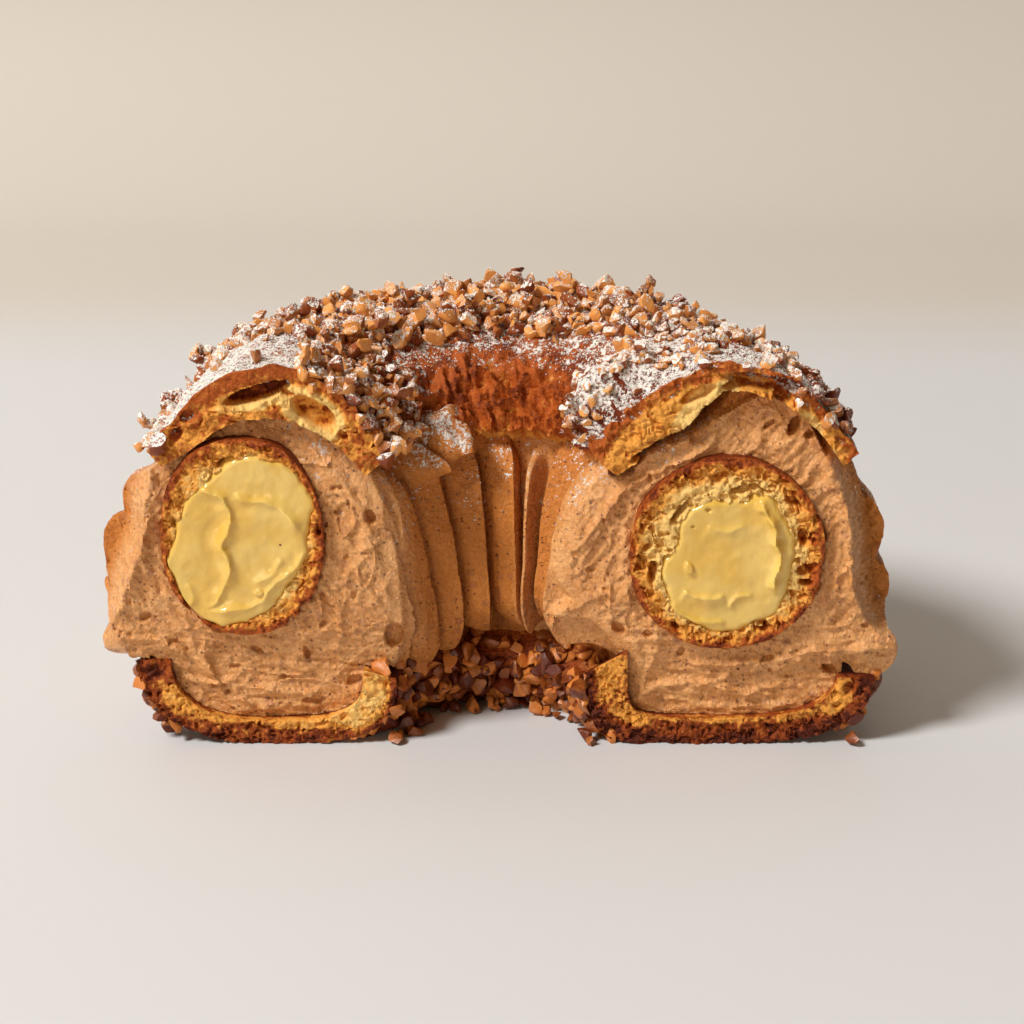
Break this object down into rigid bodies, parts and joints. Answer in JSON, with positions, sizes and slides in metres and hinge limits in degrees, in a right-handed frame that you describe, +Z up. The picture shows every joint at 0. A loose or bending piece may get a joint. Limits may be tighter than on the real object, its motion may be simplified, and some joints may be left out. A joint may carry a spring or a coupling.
{
  "type": "paris brest pastry",
  "caption": "Cut half of a choux pastry ring with piped nut cream, a custard-filled inner choux ring and a nut-topped choux lid.",
  "frame": {"origin": "bottom centre of the bounding box, on the surface the pastry rests on", "axes": "+X along the length, from the left cut lobe to the right one; +Z up; both cut faces look along -Y"},
  "size_m": [0.1506, 0.0764, 0.0775],
  "materials": {
    "baked_crust": "dry, golden brown baked crust, matt",
    "choux_crumb": "dry, porous baked crumb, matt",
    "praline_cream": "soft satin cream with fine nut specks",
    "pastry_cream": "smooth glossy custard"
  },
  "bodies": {
    "root": {"base_choux": "baked_crust", "praline_cream": "praline_cream", "inner_choux": "choux_crumb", "pastry_cream": "pastry_cream", "top_choux": "baked_crust"}
  },
  "joints": []
}
